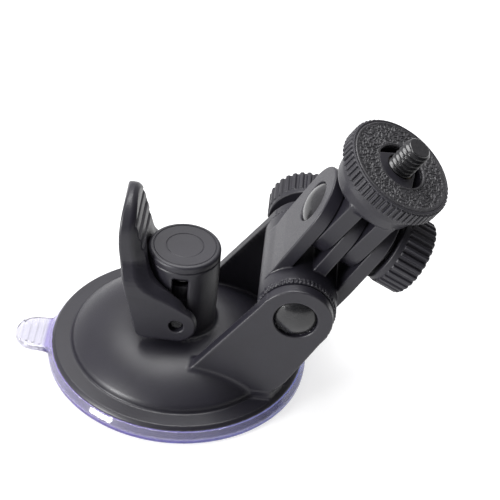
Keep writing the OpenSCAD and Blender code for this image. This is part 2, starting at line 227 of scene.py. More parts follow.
def net(field, low, high, cell):
    """Points, quads and normals of the surface where a field is zero, as a surface net of that cell."""
    low = np.array(low, float) - 1.5 * cell
    counts = np.ceil((np.array(high) + 1.5 * cell - low) / cell).astype(int) + 1
    axes = [low[i] + cell * np.arange(counts[i]) for i in range(3)]
    value = np.broadcast_to(field(*np.meshgrid(*axes, indexing="ij", sparse=True)), counts)
    value = np.ascontiguousarray(value)
    cells = tuple(counts - 1)
    total = np.zeros(cells + (3,))
    found = np.zeros(cells, int)
    steps = np.indices(counts)
    for axis in range(3):
        order = (axis, (axis + 1) % 3, (axis + 2) % 3)
        v = value.transpose(order)
        start, end = v[:-1], v[1:]
        crossed = (start < 0) != (end < 0)
        share = np.where(crossed, start / np.where(crossed, start - end, 1), 0)
        place = [steps[o].transpose(order)[:-1] * crossed for o in order]
        place[0] = place[0] + share
        sums, number = total.transpose(order + (3,)), found.transpose(order)
        for a in (0, 1):
            for b in (0, 1):
                near = (slice(None), slice(a, a + number.shape[1]), slice(b, b + number.shape[2]))
                number += crossed[near]
                for k in range(3):
                    sums[..., order[k]] += place[k][near]
    used = found > 0
    index = np.full(cells, -1)
    index[used] = np.arange(used.sum())
    points = low + cell * total[used] / found[used][:, None]
    quads = []
    for axis in range(3):
        order = (axis, (axis + 1) % 3, (axis + 2) % 3)
        v, n = value.transpose(order), index.transpose(order)
        inside = v[:-1, 1:-1, 1:-1] < 0
        crossed = inside != (v[1:, 1:-1, 1:-1] < 0)
        quad = np.stack([n[:, :-1, :-1][crossed], n[:, 1:, :-1][crossed],
                         n[:, 1:, 1:][crossed], n[:, :-1, 1:][crossed]], 1)
        back = ~inside[crossed]
        quad[back] = quad[back][:, ::-1]
        quads.append(quad)
    points, normals = settle(field, points, cell)
    return points, np.concatenate(quads), normals


def gradient(field, points, step):
    """Slope of a field at each point."""
    slopes = []
    for axis in range(3):
        ahead, behind = points.copy(), points.copy()
        ahead[:, axis] += step
        behind[:, axis] -= step
        slopes.append((field(*ahead.T) - field(*behind.T)) / (2 * step))
    return np.stack(slopes, 1)


def settle(field, points, cell):
    """Moves points on to the surface, and gives their normals."""
    start = points.copy()
    for _ in range(3):
        slope = gradient(field, points, cell * 0.05)
        size = np.maximum((slope**2).sum(1), 0.05)
        points = points - (field(*points.T) / size)[:, None] * slope
        points = start + np.clip(points - start, -0.6 * cell, 0.6 * cell)
    slope = gradient(field, points, cell * 0.25)
    return points, slope / np.maximum(np.linalg.norm(slope, axis=1), 1e-9)[:, None]


def turn_rings(rings, around):
    """Points of rings about Z, each a radius, or a radius at each angle, and a height."""
    angles = np.arange(around) * 2 * math.pi / around
    return np.concatenate([
        np.stack([r * np.cos(angles), r * np.sin(angles), np.full(around, z)], 1) for r, z in rings])


def shaped_rod(radius, heights, around):
    """Points and quads of a rod with radius(angle, height), closed by flat ends."""
    angles = np.arange(around) * 2 * math.pi / around
    rings = [(0, heights[0])] + [(radius(angles, z), z) for z in heights] + [(0, heights[-1])]
    return turn_rings(rings, around), ring_quads(len(rings), around)


def ring_quads(rings, around, closed=False):
    """Quads between rings of points, and back to the first ring if closed."""
    quads = []
    for i in range(rings if closed else rings - 1):
        a, b = i * around, (i + 1) % rings * around
        quads += [(a + k, a + (k + 1) % around, b + (k + 1) % around, b + k) for k in range(around)]
    return np.array(quads)


def lathe(profile, around):
    """Points and quads of a closed ring whose section is profile, a list of (radius, height)."""
    return turn_rings(profile, around), ring_quads(len(profile), around, closed=True)


def solid_lathe(profile, around):
    """Points and quads of a solid that ends on its axis at both ends of profile."""
    return turn_rings(profile, around), ring_quads(len(profile), around)


def rounded(corners, radius, steps=5):
    """A section's corners, each replaced by an arc of that radius."""
    result = []
    count = len(corners)
    for i in range(count):
        before, here, after = (np.array(corners[(i + d) % count], float) for d in (-1, 0, 1))
        a, b = before - here, after - here
        reach = min(radius, np.linalg.norm(a) * 0.45, np.linalg.norm(b) * 0.45)
        a, b = a / np.linalg.norm(a) * reach, b / np.linalg.norm(b) * reach
        for t in np.linspace(0, 1, steps):
            result.append(tuple(here + a * (1 - t) ** 2 + b * t * t))
    return result


def piece(name, points, quads, place, body, material, replaced, normals=None, crease=None):
    """A mesh piece from points in mm in a local frame, riding on a CAD body; crease is in degrees."""
    mesh = bpy.data.meshes.new(name)
    matrix = np.array(place)
    world = np.asarray(points) * MM @ matrix[:3, :3].T + matrix[:3, 3]
    mesh.from_pydata(world.tolist(), [], np.asarray(quads).tolist())
    if normals is None:
        merge_centre(mesh)
    mesh.polygons.foreach_set("use_smooth", [True] * len(mesh.polygons))
    if normals is not None:
        world_normals = normals @ matrix[:3, :3].T
        mesh.normals_split_custom_set_from_vertices(world_normals.tolist())
    if crease is not None:
        mesh.set_sharp_from_angle(angle=math.radians(crease))
    return add_piece(mesh, body, material, replaced)


def add_piece(mesh, body, material, replaced):
    """Puts a mesh in the scene as a piece of that material, in place of the CAD nodes replaced."""
    mesh.materials.append(material)
    thing = bpy.data.objects.new(mesh.name, mesh)
    bpy.context.scene.collection.objects.link(thing)
    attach(thing, body)
    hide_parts(*replaced)
    return thing


def merge_centre(mesh):
    """Joins points that lie together, as on a lathe's axis."""
    edit = bmesh.new()
    edit.from_mesh(mesh)
    before = len(edit.verts)
    bmesh.ops.remove_doubles(edit, verts=edit.verts, dist=2e-6)
    if len(edit.verts) != before:
        edit.to_mesh(mesh)
    edit.free()


def moulded(name, field, low, high, cell, place, body, material, replaced):
    """A moulded piece from its distance field."""
    points, quads, normals = net(field, low, high, cell)
    return piece(name, points, quads, place, body, material, replaced, normals)


# ---------- Materials ----------


def add_node(tree, kind, inputs=None, **settings):
    """A shader node with its settings, and its inputs set or linked."""
    made = tree.nodes.new(kind)
    for key, value in settings.items():
        setattr(made, key, value)
    for key, value in (inputs or {}).items():
        if isinstance(value, bpy.types.NodeSocket):
            tree.links.new(value, made.inputs[key])
        else:
            made.inputs[key].default_value = value
    return made


def noise_at(tree, size, detail=2.0, rough=0.5):
    """A noise whose features are about size mm across, in the object's own coordinates."""
    place = add_node(tree, "ShaderNodeTexCoord")
    return add_node(tree, "ShaderNodeTexNoise", {
        "Vector": place.outputs["Object"], "Scale": 1 / (size * MM), "Detail": detail, "Roughness": rough,
    }).outputs["Fac"]


def between(tree, factor, low, high):
    """low to high as factor goes from 0.35 to 0.65, the span a noise mostly fills."""
    return add_node(tree, "ShaderNodeMapRange", {
        "Value": factor, "From Min": 0.35, "From Max": 0.65, "To Min": low, "To Max": high,
    }).outputs["Result"]


def mix_colours(tree, factor, low, high):
    """A colour from low to high by factor."""
    made = add_node(tree, "ShaderNodeMix", {"Factor": factor}, data_type="RGBA")
    for socket, colour in (("A", low), ("B", high)):
        target = [s for s in made.inputs if s.name == socket and s.type == "RGBA"][0]
        if isinstance(colour, bpy.types.NodeSocket):
            tree.links.new(colour, target)
        else:
            target.default_value = (*colour, 1)
    return [s for s in made.outputs if s.type == "RGBA"][0]


def new_material(name):
    """An empty material: its node tree and its Principled shader."""
    material = bpy.data.materials.new(name)
    material.use_nodes = True
    tree = material.node_tree
    return material, tree, tree.nodes["Principled BSDF"]


def bump(tree, shader, height, depth, below=None):
    """Raises the shading by a height map, depth in mm."""
    inputs = {"Height": height, "Distance": depth * MM, "Strength": 1.0}
    if below is not None:
        inputs["Normal"] = below
    made = add_node(tree, "ShaderNodeBump", inputs).outputs["Normal"]
    tree.links.new(made, shader.inputs["Normal"])
    return made


def edges(tree, low=0.52, high=0.60):
    """1 on the convex edges, where a painted highlight lightens the colour."""
    geometry = add_node(tree, "ShaderNodeNewGeometry")
    return add_node(tree, "ShaderNodeMapRange", {
        "Value": geometry.outputs["Pointiness"], "From Min": low, "From Max": high,
        "To Min": 0.0, "To Max": 1.0}).outputs["Result"]


def moulded_plastic(name, colour, edge_highlight_colour, roughness, grain=0.3, depth=0.010, with_edge_highlight=True):
    """Black moulded plastic: spark-eroded grain, faint mottling, convex edges lightened as a painted
    highlight.
    """
    material, tree, shader = new_material(name)
    mottle = between(tree, noise_at(tree, 6.0, 3.0), 0.0, 1.0)
    tint = mix_colours(tree, mottle, colour, [c * 1.18 for c in colour])
    # Painted highlight: the convex edges are lightened towards the highlight colour.
    if with_edge_highlight:
        tint = mix_colours(tree, edges(tree), tint, edge_highlight_colour)
    tree.links.new(tint, shader.inputs["Base Color"])
    fine = noise_at(tree, grain * 0.8, 1.0)
    rough = between(tree, fine, roughness - 0.06, roughness + 0.07)
    tree.links.new(rough, shader.inputs["Roughness"])
    first = bump(tree, shader, noise_at(tree, grain, 2.0, 0.6), depth)
    bump(tree, shader, noise_at(tree, 3.5, 2.0), depth * 1.2, first)
    shader.inputs["IOR"].default_value = 1.45
    return material


def black_steel():
    """Oiled black-oxide steel: a glossy black skin, with a painted highlight lightening its crests to grey.
    """
    material, tree, shader = new_material("black_oxide_steel")
    rub = between(tree, noise_at(tree, 0.9, 4.0, 0.7), 0.0, 1.0)
    tint = mix_colours(tree, rub, (0.008, 0.008, 0.009), (0.016, 0.016, 0.017))
    # Painted highlight: crests and edges are lightened to grey.
    tint = mix_colours(tree, edges(tree, 0.60, 0.74), tint, (0.14, 0.14, 0.14))
    tree.links.new(tint, shader.inputs["Base Color"])
    tree.links.new(between(tree, noise_at(tree, 0.35), 0.16, 0.26), shader.inputs["Roughness"])
    shader.inputs["IOR"].default_value = 1.5
    bump(tree, shader, noise_at(tree, 0.18, 2.0), 0.0015)
    return material


def plated_steel(name, colour, roughness):
    """Plated steel with a fine grain and dull patches."""
    material, tree, shader = new_material(name)
    patch = between(tree, noise_at(tree, 1.6, 3.0), 0.0, 1.0)
    tint = mix_colours(tree, patch, colour, [c * 0.78 for c in colour])
    tree.links.new(tint, shader.inputs["Base Color"])
    tree.links.new(between(tree, noise_at(tree, 0.4), roughness - 0.07, roughness + 0.08),
                   shader.inputs["Roughness"])
    shader.inputs["Metallic"].default_value = 1.0
    bump(tree, shader, noise_at(tree, 0.12, 2.0), 0.001)
    return material


def grained_rubber():
    """Black rubber sheet: satin, a dusty tone that varies at random, the crests of its leather grain
    lightened as a painted highlight.
    """
    material, tree, shader = new_material("grained_rubber")
    dust = between(tree, noise_at(tree, 2.4, 4.0), 0.0, 1.0)
    tint = mix_colours(tree, dust, (0.013, 0.0128, 0.0145), (0.021, 0.0205, 0.023))
    # Painted highlight: the crests of the grain are lightened.
    tint = mix_colours(tree, edges(tree, 0.51, 0.58), tint, (0.075, 0.073, 0.080))
    tree.links.new(tint, shader.inputs["Base Color"])
    tree.links.new(between(tree, noise_at(tree, 0.5), 0.42, 0.6), shader.inputs["Roughness"])
    bump(tree, shader, noise_at(tree, 0.16, 2.0, 0.6), 0.006)
    return material


def clear_vinyl():
    """Soft clear vinyl with painted light and shade: a deep violet painted on the disc's edge, where light
    runs along it, bluer towards +X, and paler paint above and in the tab.
    """
    material, tree, shader = new_material("clear_vinyl")
    coordinates = add_node(tree, "ShaderNodeTexCoord")
    place = add_node(tree, "ShaderNodeSeparateXYZ", {"Vector": coordinates.outputs["Object"]})
    far = add_node(tree, "ShaderNodeMapRange", {
        "Value": place.outputs["X"], "From Min": -20 * MM, "From Max": 30 * MM}).outputs["Result"]
    tab = add_node(tree, "ShaderNodeMapRange", {
        "Value": place.outputs["X"], "From Min": -32.5 * MM, "From Max": -34 * MM}).outputs["Result"]
    level = add_node(tree, "ShaderNodeMapRange", {
        "Value": place.outputs["Z"], "From Min": 1.1 * MM, "From Max": 1.7 * MM}).outputs["Result"]
    cloud = between(tree, noise_at(tree, 5.0, 2.0), 0.0, 1.0)
    # Painted light and shade: the edge is painted deep violet, bluer towards +X, and the top and the tab
    # paler, standing in for light run through more or less of the clear sheet.
    side = mix_colours(tree, far, (0.17, 0.11, 0.52), (0.11, 0.14, 0.52))
    paler_top_painted = mix_colours(tree, cloud, (0.66, 0.64, 0.84), (0.74, 0.72, 0.90))
    tint = mix_colours(tree, level, side, paler_top_painted)
    tint = mix_colours(tree, tab, tint, (0.74, 0.73, 0.82))
    tree.links.new(tint, shader.inputs["Base Color"])
    tree.links.new(between(tree, noise_at(tree, 1.2, 2.0), 0.06, 0.16), shader.inputs["Roughness"])
    shader.inputs["Transmission Weight"].default_value = 0.86
    shader.inputs["IOR"].default_value = 1.45
    shader.inputs["Coat Weight"].default_value = 0.25
    bump(tree, shader, noise_at(tree, 2.5, 2.0), 0.01)
    return material


# The second colour of each moulding is its painted highlight on convex edges.
BLACK = moulded_plastic("black_abs_moulding", (0.0090, 0.0084, 0.0125), (0.028, 0.027, 0.031), 0.40)
BLACK_FINE = moulded_plastic("black_abs_fine", (0.0100, 0.0094, 0.0135), (0.030, 0.029, 0.033), 0.48,
                             grain=0.22, depth=0.007)
BLACK_TURNED = moulded_plastic("black_abs_turned", (0.0120, 0.0113, 0.0155), (0, 0, 0), 0.45,
                               grain=0.22, depth=0.007, with_edge_highlight=False)
STEEL = black_steel()
ZINC = plated_steel("zinc_steel", (0.62, 0.63, 0.64), 0.32)
DARK_STEEL = plated_steel("dark_steel", (0.14, 0.14, 0.145), 0.34)
BRASS = plated_steel("blackened_brass", (0.10, 0.085, 0.06), 0.4)
RUBBER = grained_rubber()
VINYL = clear_vinyl()

# ---------- Sizes that pieces share, in mm ----------

BOLT_R = 2.56  # the clamp bolts' holes
BOLT_HEAD_R, HEAD_PLAY = 4.95, 0.25
FINGER_T, FINGER_R = 3.4, 9.3
FINGERS_HALF = 9.54  # half across the elbow's three fingers
FINGER_GAP = (2 * FINGERS_HALF - 3 * FINGER_T) / 2
KNURLS = 60

# ---------- Suction cup ----------


def make_suction_cup():
    """Clear disc with a thin lip, a seat for the base, and a ribbed pull tab."""
    low, high = box_mm("suction_cup")
    cup_r = high[0]
    glass_z, seat_z = 0.02, high[2] - 0.04
    foot_r, foot_z = 9.15, 1.15
    tab_half, tab_z, tab_t = 5.75, 0.95, 1.5
    tab_end, tab_root = low[0] + tab_half, 3 - cup_r
    ribs, rib_r, rib_pitch, rib_z = 4, 0.42, 1.7, tab_z + tab_t / 2 - 0.03
    past_axis, web_z, boss_z = -5, 2.2, 3.2
    inset = 0.06  # from the section to the disc's surface
    section = [(past_axis, glass_z), (cup_r - 0.5, glass_z), (cup_r, 0.5), (cup_r, 2.0),
               (cup_r - 0.9, seat_z), (27, seat_z), (22, web_z), (13, web_z), (11, boss_z),
               (past_axis, boss_z)]

    def field(x, y, z):
        r = np.hypot(x, y)
        disc = polygon(r, z, section)
        strip = rectangle(x - (tab_end + tab_root) / 2, y, (tab_root - tab_end) / 2, tab_half)
        blade = np.minimum(np.hypot(x - tab_end, y) - tab_half, strip)
        tab = extrude(blade, z, tab_z - tab_t / 2, tab_z + tab_t / 2, 0.3)
        for i in range(ribs):
            rib_x = low[0] + 1.6 + rib_pitch * i
            reach = np.maximum(np.abs(y) - (tab_half - 2.4 + 0.4 * i), 0)
            rib = np.sqrt((x - rib_x) ** 2 + (z - rib_z) ** 2 + reach**2) - rib_r
            tab = smooth_min(tab, rib, 0.3)
        disc = smooth_min(disc + inset, tab, 1.2)
        disc = cut(disc, np.maximum(r - foot_r, foot_z - z), 0.3)
        return np.maximum(disc, glass_z - z)

    moulded("suction_cup_clear", field, low, high, 0.4, BASE, "base", VINYL,
            ["suction_cup"])


# ---------- Base ----------

CUP_TOP = 3.5
DOME_TOP = 12.9
CROWN_R = 10.5
STEP_R, STEP_Z = 26.5, 5.7
CAP_PLUG = 1.7  # how deep the tower cap reaches into the tower
EYE_R = 8.8
ARM_SLOPE, ARM_BACK_SLOPE = math.radians(55.8), math.radians(63)
TOE_LOW, TOE_TOP = 4, 6.5  # the arms' toes on the flange


def dome_field(r, z, shrink):
    """Flat crown, then an arc that falls to the step."""
    fall = DOME_TOP - STEP_Z
    run = STEP_R - CROWN_R
    radius = (run * run + fall * fall) / (2 * fall)
    q = np.maximum(r - CROWN_R, 0)
    return np.hypot(q, np.maximum(z - DOME_TOP + radius, 0)) - radius + shrink


def arm_outline():
    """Corners of a fork arm below its eye, and the eye's centre, X and Z."""
    px, pz = PIVOT_1.x / MM, PIVOT_1.z / MM
    top = (px - EYE_R * math.sin(ARM_SLOPE), pz + EYE_R * math.cos(ARM_SLOPE))
    back = (px + EYE_R * math.sin(ARM_BACK_SLOPE), pz - EYE_R * math.cos(ARM_BACK_SLOPE))
    heel_z, toe_x, tip_z = 10.7, 24.5, 9.0
    heel = (back[0] - (back[1] - heel_z) / math.tan(ARM_BACK_SLOPE), heel_z)
    tip_x = top[0] - (top[1] - tip_z) / math.tan(ARM_SLOPE)
    return [top, (tip_x, tip_z), (tip_x, TOE_LOW), (toe_x, TOE_LOW), (toe_x, TOE_TOP), heel, back,
            (px, pz)]


def make_base_shell():
    """Dome, flange, tower and fork in one moulding, with soft fillets where they meet."""
    low, high = box_mm("base_shell")
    wall = 2.0
    arm_outer, arm_t = 17.6, 2.9
    arm_inner = arm_outer - arm_t
    flange_r, flange_z, flange_fall = high[1], 5.0, 0.09
    rim_z, rim_bevel = 4.6, 0.8
    toe_x, toe_half, toe_w, toe_end_r = 24, 4, 5, 30.2
    tower_r, bore_r, tower_root = 8.8, 7.2, 8
    tower_top = box_mm("tower_cap")[0][2] + CAP_PLUG
    px, pz = PIVOT_1.x / MM, PIVOT_1.z / MM
    corners = arm_outline()
    slot_w, slot_low, slot_high = 3.8, PIN_Z - 2.1, 31.2
    head_sink = 1.1

    def field(x, y, z):
        r = np.hypot(x, y)
        dome = smooth_max(dome_field(r, z, 0), r - STEP_R, 0.8)
        dome = np.maximum(dome, CUP_TOP - z)
        rim_top = rim_z - np.maximum(r - flange_r + rim_bevel, 0)
        rim_top = np.minimum(rim_top, flange_z - (r - STEP_R) * flange_fall)
        flange = smooth_max(smooth_max(z - rim_top, r - flange_r, 0.4), CUP_TOP - z, 0.25)
        shell = smooth_min(dome, flange, 0.5)
        tower = smooth_max(r - tower_r, z - tower_top, 0.6)
        shell = smooth_min(shell, np.maximum(tower, tower_root - z), 1.1)
        flat = smooth_min(np.hypot(x - px, z - pz) - EYE_R, polygon(x, z, corners), 0.6)
        for side in (-1, 1):
            near, far = sorted((side * arm_inner, side * arm_outer))
            arm = extrude(flat, y, near, far, 0.32)
            toe_mid = side * (arm_outer - toe_w / 2)
            toe = rectangle(x - toe_x, y - toe_mid, toe_half, toe_w / 2)
            toe = np.maximum(toe, slab(z, TOE_LOW, TOE_TOP))
            toe = smooth_max(toe, r - toe_end_r, 0.3)
            shell = smooth_min(shell, arm, 1.2)
            shell = smooth_min(shell, toe, 0.5)
        hollow = smooth_max(dome_field(r, z, wall), r - STEP_R + wall, 0.6)
        shell = cut(shell, np.maximum(hollow, -z), 0.3)
        shell = cut(shell, np.maximum(r - bore_r, CUP_TOP - z), 0.3)
        slot = rectangle(x, z - (slot_low + slot_high) / 2, slot_w / 2, (slot_high - slot_low) / 2, 0.6)
        shell = cut(shell, np.maximum(slot, np.abs(y) - tower_r - 1), 0.6)
        hole = np.hypot(x - px, z - pz)
        shell = cut(shell, hole - BOLT_R, 0.2)
        sink = np.maximum(hole - BOLT_HEAD_R - HEAD_PLAY, y + arm_outer - head_sink)
        return cut(shell, sink, 0.35)

    moulded("base_shell_moulding", field, low, high, 0.4, BASE, "base", BLACK,
            ["base_shell"])


def make_tower_cap():
    """Press-in cap with a rolled rim and shallow turned rings."""
    low, high = box_mm("tower_cap")
    top, rim_r = high[2], high[0]
    seat = low[2] + CAP_PLUG
    plug_inner, plug_outer, roll = 6.45, 7.15, 0.8
    rim = arc((rim_r - roll, top - roll), roll, 0, 90, 8)
    profile = [(0, seat + 0.2), (plug_inner, seat + 0.2), (plug_inner, low[2]), (plug_outer, low[2]),
               (plug_outer, seat), (rim_r - 0.2, seat), (rim_r, seat + 0.2), (rim_r, seat + 0.7)] + rim
    for radius, depth in ((7.6, 0.14), (4.5, 0.10)):
        profile += [(radius + 0.16, top), (radius + 0.05, top - depth), (radius - 0.05, top - depth)]
        top -= 0.03
        profile += [(radius - 0.2, top)]
    profile += [(3.9, top), (2, top), (0, top)]
    points, quads = solid_lathe(profile, 144)
    piece("tower_cap_turned", points, quads, BASE, "base", BLACK_TURNED,
          ["tower_cap"], crease=20)


# ---------- Lever ----------

LEVER_ROOT_Z = 27  # where the cheeks join into the tongue


def lever_side(front_edge):
    """The lever's side outline, X and Z, closed by a front edge from its tip to its pivot end."""
    left, bottom, corner_r, back_x = -10.3, 14.4, 3, -15.2
    corner = (left + corner_r, bottom + corner_r)
    top = box_mm("cam_lever")[1][2]
    return (arc(corner, corner_r, 270, 180, 8)
            + curve((left, corner[1]), (-11.6, 25), (back_x, 33), (back_x, 42), 14)[1:]
            + curve((back_x, 42), (back_x, 45), (-15.1, top), (-13.8, top), 10)[1:]
            + front_edge + arc((0, PIN_Z), 4.85, 65, -90, 24))


def lever_front(outer, top):
    """The lever's front outline, Y and Z: wide cheeks that narrow to a round tongue."""
    tongue_r = 9
    centre = top - tongue_r
    flare = curve((tongue_r, centre - 5), (tongue_r, 34), (outer, 32.5), (outer, LEVER_ROOT_Z), 10)
    return (arc((0, centre), tongue_r, 180, 0, 40) + flare + [(outer, 0), (-outer, 0)]
            + [(-y, z) for y, z in reversed(flare)])


def make_lever():
    """Cam lever: two cheeks astride the tower and a ribbed thumb tongue."""
    low, high = box_mm("cam_lever")
    outer, top = high[1], high[2]
    inner = outer - 2.4
    nest_r, pin_hole_r = 9.3, 1.76
    grip_heights, grip_w, grip_depth = (45.1, 41.9, 38.7), 1.2, 0.75
    full_side = lever_side(
        curve((-12.8, top), (-11.4, top), (-11.5, 47), (-11.3, 45), 8)
        + curve((-11.3, 45), (-10.9, 43.6), (-9.6, 39.5), (-9, 37), 8)[1:]
        + curve((-9, 37), (-8.3, 35), (-8.3, 32.4), (-6.4, 30.5), 8)[1:]
        + curve((-6.4, 30.5), (-4.9, 29.1), (-1.8, 28.2), (0.6, 25.9), 8)[1:])
    face_side = lever_side(
        curve((-12.8, top), (-12.1, 48.5), (-12.2, 46), (-12.3, 43), 8)
        + curve((-12.3, 43), (-12.1, 40), (-11.4, 36), (-10.4, 32.2), 8)[1:]
        + curve((-10.4, 32.2), (-9.6, 29.8), (-7.4, 28.2), (-4.4, 26.9), 8)[1:])
    front_corners = lever_front(outer, top)

    def field(x, y, z):
        front = polygon(y, z, front_corners)
        # From the full side outline to the face's over a chamfer, which narrows towards the tip.
        chamfer = 2.0 - 1.1 * np.clip((z - 38) / 8, 0, 1)
        outward = np.clip(front / chamfer + 1, 0, 1)
        full = polygon(x, z, full_side)
        side = full + (polygon(x, z, face_side) - full) * outward
        lever = smooth_max(side, front, 0.7)
        hollow = np.maximum(np.minimum(z - LEVER_ROOT_Z, -x), np.abs(y) - inner)
        hollow = np.minimum(hollow, np.hypot(x, y) - nest_r)
        lever = cut(lever, hollow, 0.6)
        deep = grip_depth * np.clip((7.6 - np.abs(y)) / 2.4, 0, 1)
        for height in grip_heights:
            groove = np.maximum(np.abs(z - height) - grip_w / 2, -(full + deep))
            groove = np.maximum(groove, -13.4 - x)
            lever = cut(lever, groove, 0.4)
        return cut(lever, np.hypot(x, z - PIN_Z) - pin_hole_r, 0.3)

    moulded("cam_lever_moulding", field, low, high, 0.3, BASE, "lever", BLACK,
            ["cam_lever"])


def make_lever_pin():
    """Pin pressed in below the faces of the cheeks, its ends chamfered."""
    reach = box_mm("lever_pin")[1][1] - 0.5
    pin_r = 1.68
    half = [(pin_r - 0.43, reach), (pin_r - 0.06, reach - 0.35), (pin_r, reach - 0.8)]
    profile = [(0, -reach)] + [(r, -z) for r, z in half] + half[::-1] + [(0, reach)]
    points, quads = solid_lathe(profile, 64)
    place = local_frame((0, 0, PIN_Z * MM), (0, 1, 0), (1, 0, 0))
    piece("lever_pin_turned", points, quads, place, JOINTS["lever_swing"]["parent"],
          STEEL, ["lever_pin"], crease=30)


# ---------- Elbow ----------


def make_elbow():
    """Barrel of pivot 1 with three fingers for pivot 2, and a ring of fine teeth at each end."""
    low, high = local_box("elbow_link", ELBOW)
    reach = (PIVOT_2 - PIVOT_1).length / MM
    half = high[1]
    barrel_r = 9.4
    tooth_w, tooth_depth = 1.15, 0.28
    root_taper, taper_z = 0.35, 8
    step = FINGER_T + FINGER_GAP
    head_sink = 0.6

    def field(x, y, z):
        radius = np.hypot(x, z)
        hole = np.hypot(y, z - reach)
        notch = teeth(np.arctan2(z, x), KNURLS, 0.35, 0.3)
        notch = tooth_depth * notch * np.clip((np.abs(y) - half + tooth_w) / 0.15, 0, 1)
        body = extrude(radius - barrel_r + notch, y, -half, half, 0.2)
        flat = np.where(z > reach, hole - FINGER_R, np.abs(y) - FINGER_R)
        taper = root_taper * np.clip(1 - z / taper_z, 0, 1)
        flat = np.maximum(flat, -z) + taper
        outside = np.abs(x) - FINGERS_HALF + taper
        for middle in (-step, 0, step):
            finger = extrude(flat, x, middle - FINGER_T / 2, middle + FINGER_T / 2, 0.35)
            body = smooth_min(body, np.maximum(finger, outside), 0.5)
        body = cut(body, hole - BOLT_R, 0.3)
        sink = np.maximum(hole - BOLT_HEAD_R - HEAD_PLAY, x + FINGERS_HALF - head_sink)
        body = cut(body, sink, 0.35)
        return cut(body, radius - BOLT_R, 0.3)

    moulded("elbow_moulding", field, low, high, 0.3, ELBOW, "elbow", BLACK,
            ["elbow_link"])


# ---------- Camera head ----------


def make_head():
    """Round flange on two fingers, with a hexagon pocket for the screw's head."""
    low, high = local_box("camera_head", HEAD)
    top = high[2]
    thick = FINGER_GAP - 0.34
    middle = (FINGER_T + FINGER_GAP) / 2
    under, low_r, high_r, shoulder = 11.2, 10.5, 11.3, 15.0
    pocket_z, pocket_flats = 12.2, 11.15

    def field(x, y, z):
        r = np.hypot(x, y)
        wall_r = low_r + (high_r - low_r) * np.clip((z - under) / (shoulder - under), 0, 1)
        disc = smooth_max(smooth_max(r - wall_r, z - top, 0.6), under - z, 1.3)
        flat = np.where(z < 0, np.hypot(y, z) - FINGER_R, np.abs(y) - FINGER_R)
        flat = np.maximum(flat, z - under - 1)
        for side in (-1, 1):
            finger = extrude(flat, x, side * middle - thick / 2, side * middle + thick / 2, 0.35)
            disc = smooth_min(disc, finger, 0.8)
        disc = cut(disc, np.maximum(hexagon(x, y, pocket_flats), pocket_z - z), 0.3)
        return cut(disc, np.hypot(y, z) - BOLT_R, 0.3)

    moulded("camera_head_moulding", field, low, high, 0.3, HEAD, "head", BLACK,
            ["camera_head"])


def make_camera_screw():
    """Hexagon head and a real 20 turns per inch thread with a chamfered flat tip."""
    low, high = local_box("camera_screw", HEAD)
    head_low, tip = low[2], high[2]
    outer, depth, pitch = 3.175, 0.62, 25.4 / 20
    crest, flank = 0.06, 0.84
    head_high, flats = head_low + 3.6, 11.1

    def field(x, y, z):
        r = np.hypot(x, y)
        phase = (z / pitch - np.arctan2(y, x) / (2 * math.pi)) % 1
        slope = np.clip((np.abs(phase - 0.5) * 2 - crest) / flank, 0, 1)
        # Flank half straight and half eased, scaled so that the field is nearly a distance.
        thread = (r - outer + depth * (0.5 * slope + 0.5 * slope**2 * (3 - 2 * slope))) * 0.75
        thread = smooth_max(thread, (r - outer + 0.6 + z - tip) * 0.7, 0.12)
        thread = smooth_max(thread, z - tip, 0.1)
        thread = np.maximum(thread, head_low + 1 - z)
        head = extrude(hexagon(x, y, flats), z, head_low, head_high, 0.3)
        return smooth_min(thread, head, 0.2)

    moulded("camera_screw_threaded", field, low, high, 0.14, HEAD, "head", STEEL,
            ["camera_screw"])


def make_lock_ring():
    """Knurled ring: flat-topped teeth, a hub with two windows beside it, and a seat for the pad."""
    low, high = local_box("lock_ring", HEAD)
    bottom, top, outer = low[2], high[2], -low[1]
    pad_low, pad_high = local_box("lock_ring_pad", HEAD)
    seat, pad_r = pad_low[2], pad_high[0] + 0.05
    tooth_depth, lip_h, lip_inset = 0.6, 0.5, 0.42
    window_r, chord, insert_r, hub_hole_r = 6.0, 3.9, 3.8, 3.4
    window_turns = np.radians((-4, 122))

    def field(x, y, z):
        r = np.hypot(x, y)
        gaps = teeth(np.arctan2(y, x), KNURLS, 0.42, 0.32)
        lip = np.clip((z - top + lip_h) / 0.2, 0, 1)
        foot = np.maximum(bottom + 0.3 - z, 0)
        skin = r - outer + tooth_depth * gaps * (1 - lip) + lip_inset * lip + foot * 0.7
        body = extrude(skin, z, bottom, top, 0.12)
        beside = np.maximum.reduce([x * math.cos(a) + y * math.sin(a) for a in window_turns])
        seat_cut = np.maximum(np.maximum(r - pad_r, seat - z), window_r - r)
        body = cut(body, seat_cut, 0.15)
        body = cut(body, np.maximum(r - window_r - 0.1, top - 0.12 - z), 0.1)
        body = cut(body, np.maximum(r - window_r, chord - beside), 0.3)
        return cut(body, r - np.where(z < seat, insert_r, hub_hole_r), 0.2)

    moulded("lock_ring_moulding", field, low, high, 0.21, HEAD, "ring", BLACK_FINE,
            ["lock_ring"])


GRAIN_SEED = 1  # noise_vector takes its offsets from the clock unless it is seeded


def grain_height(x, y):
    """Leather grain: winding rounded wrinkles, from 0 in a hollow to 1 on a crest."""
    warp = noise.noise_vector(Vector((x * 0.9, y * 0.9, 3.7))) * 0.5
    near = noise.noise(Vector((x * 1.45 + warp.x, y * 1.45 + warp.y, 0.5)))
    return 1 - min(abs(near) * 3.4, 1.0) ** 1.5


